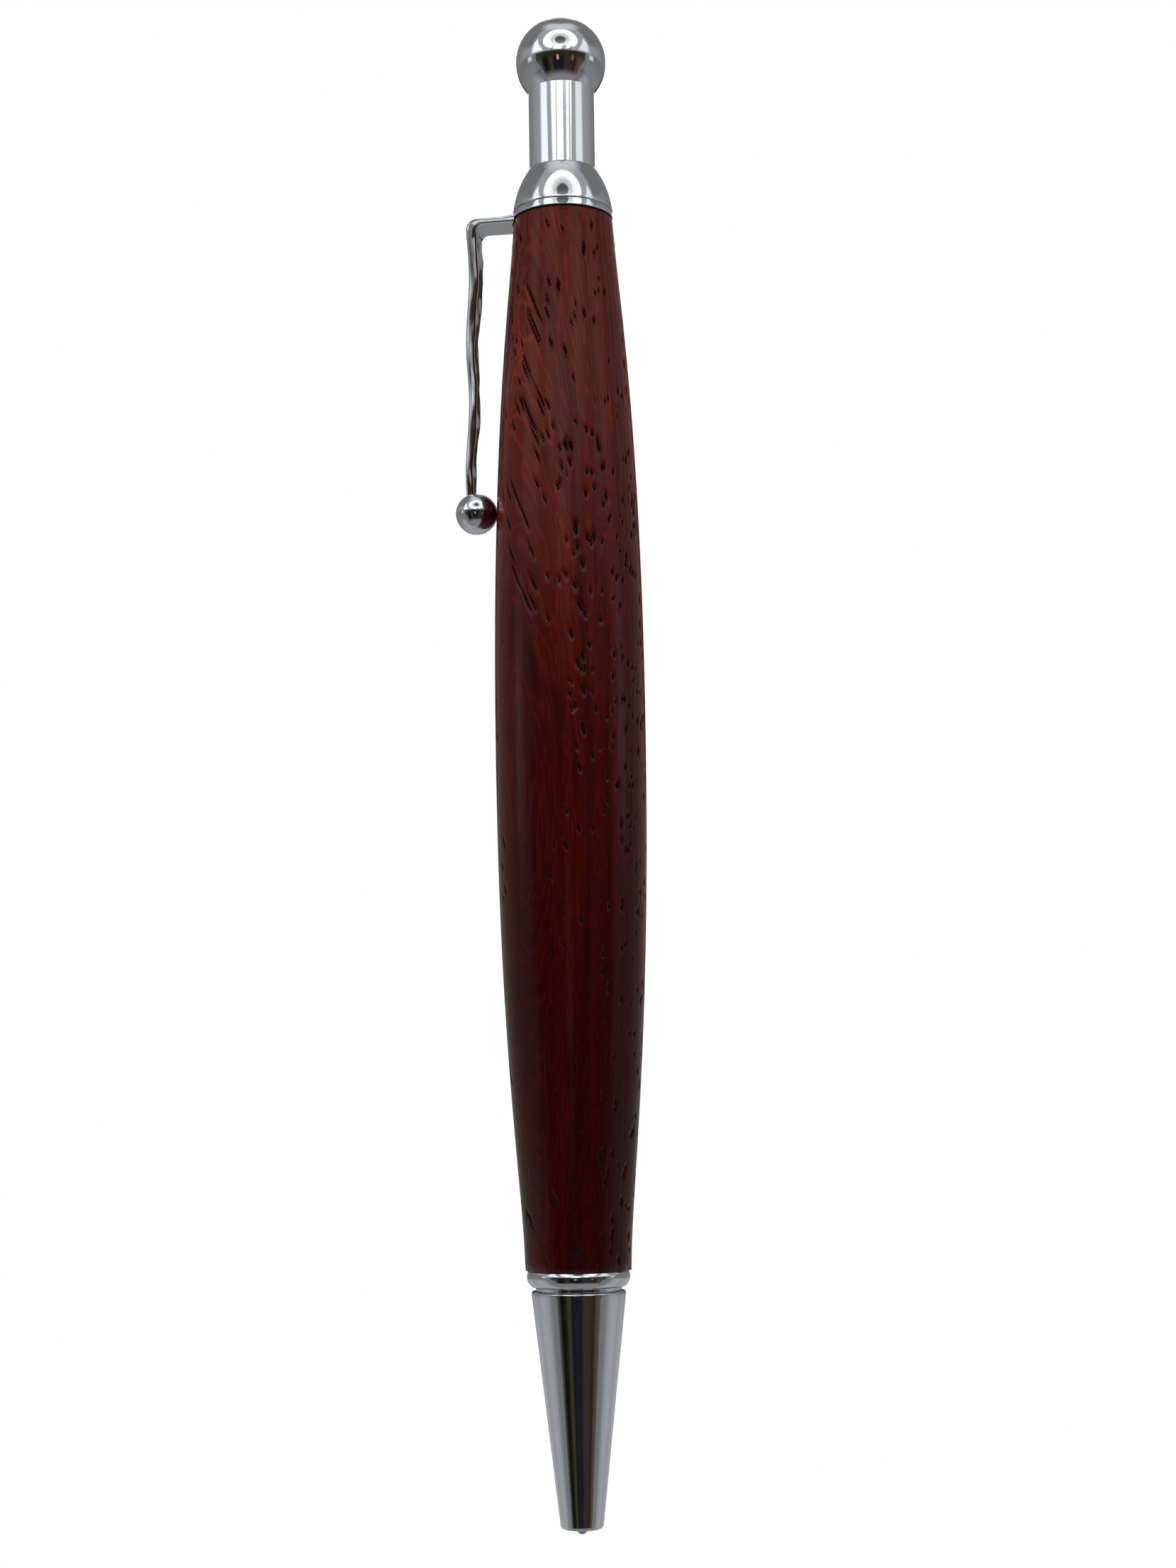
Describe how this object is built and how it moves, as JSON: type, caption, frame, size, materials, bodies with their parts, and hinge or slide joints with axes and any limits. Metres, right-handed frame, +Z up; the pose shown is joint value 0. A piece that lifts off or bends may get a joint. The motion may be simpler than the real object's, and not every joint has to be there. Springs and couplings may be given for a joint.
{
  "type": "ballpoint pen",
  "caption": "Push-button ballpoint pen: turned wooden barrel swelling at the middle, chromed cone, clip, cap and ball knob.",
  "frame": {"origin": "centre of the nose cone's mouth, on the pen's axis", "axes": "+Z up the pen's axis from the nose to the push button; the clip is on the -X side"},
  "size_m": [0.0174, 0.0138, 0.1405],
  "materials": {
    "turned_wood": "oiled and friction polished, satin gloss",
    "chrome_plate": "bright chrome plate on turned brass",
    "brass": "drawn tube, plain",
    "steel": "drawn spring wire and refill body",
    "acetal": "moulded, black",
    "nylon": "moulded, natural",
    "ink": "thick paste ink"
  },
  "bodies": {
    "barrel": {"wood_barrel": "turned_wood", "brass_tube": "brass", "lower_coupler": "chrome_plate", "upper_coupler": "chrome_plate", "clip_ring": "chrome_plate", "top_cap": "chrome_plate", "mechanism_housing": "acetal"},
    "nose": {"nose_cone": "chrome_plate"},
    "button": {"push_shaft": "chrome_plate", "push_ball": "chrome_plate", "stop_collar": "steel", "push_cam": "acetal"},
    "refill": {"refill_barrel": "steel", "refill_point": "brass", "refill_plug": "acetal", "ink_column": "ink", "return_spring": "steel"},
    "rotor": {"rotor_cam": "nylon"},
    "ball": {"writing_ball": "steel"},
    "clip": {"clip_arm": "chrome_plate", "clip_bar": "chrome_plate", "clip_ball": "chrome_plate"}
  },
  "joints": [
    {"name": "button_press", "type": "slide", "parent": "barrel", "child": "button", "axis": [0, 0, -1], "range_m": [0, 0.0043], "stiffness_N_per_m": 150},
    {"name": "refill_slide", "type": "slide", "parent": "barrel", "child": "refill", "axis": [0, 0, -1], "range_m": [0, 0.0036], "deforming": ["return_spring"]},
    {"name": "rotor_turn", "type": "hinge", "parent": "refill", "child": "rotor", "pos_m": [0, 0, 0.1], "axis": [0, 0, 1], "range_deg": [0, 22.5]},
    {"name": "writing_ball_roll", "type": "hinge", "parent": "refill", "child": "ball", "pos_m": [0, 0, 0], "axis": [0, 1, 0], "continuous": true},
    {"name": "nose_cone_off", "type": "slide", "parent": "barrel", "child": "nose", "axis": [0, 0, -1], "range_m": [0, 0.01]},
    {"name": "clip_flex", "type": "hinge", "parent": "barrel", "child": "clip", "pos_m": [-0.00566, 0, 0.12013], "axis": [0, 1, 0], "range_deg": [0, 4], "stiffness_Nm_per_rad": 0.2}
  ],
  "couplings": [
    {"joint": "refill_slide", "follows": "button_press", "ratio": 0.83721},
    {"joint": "rotor_turn", "follows": "button_press", "rad_per_m": 91.325}
  ]
}
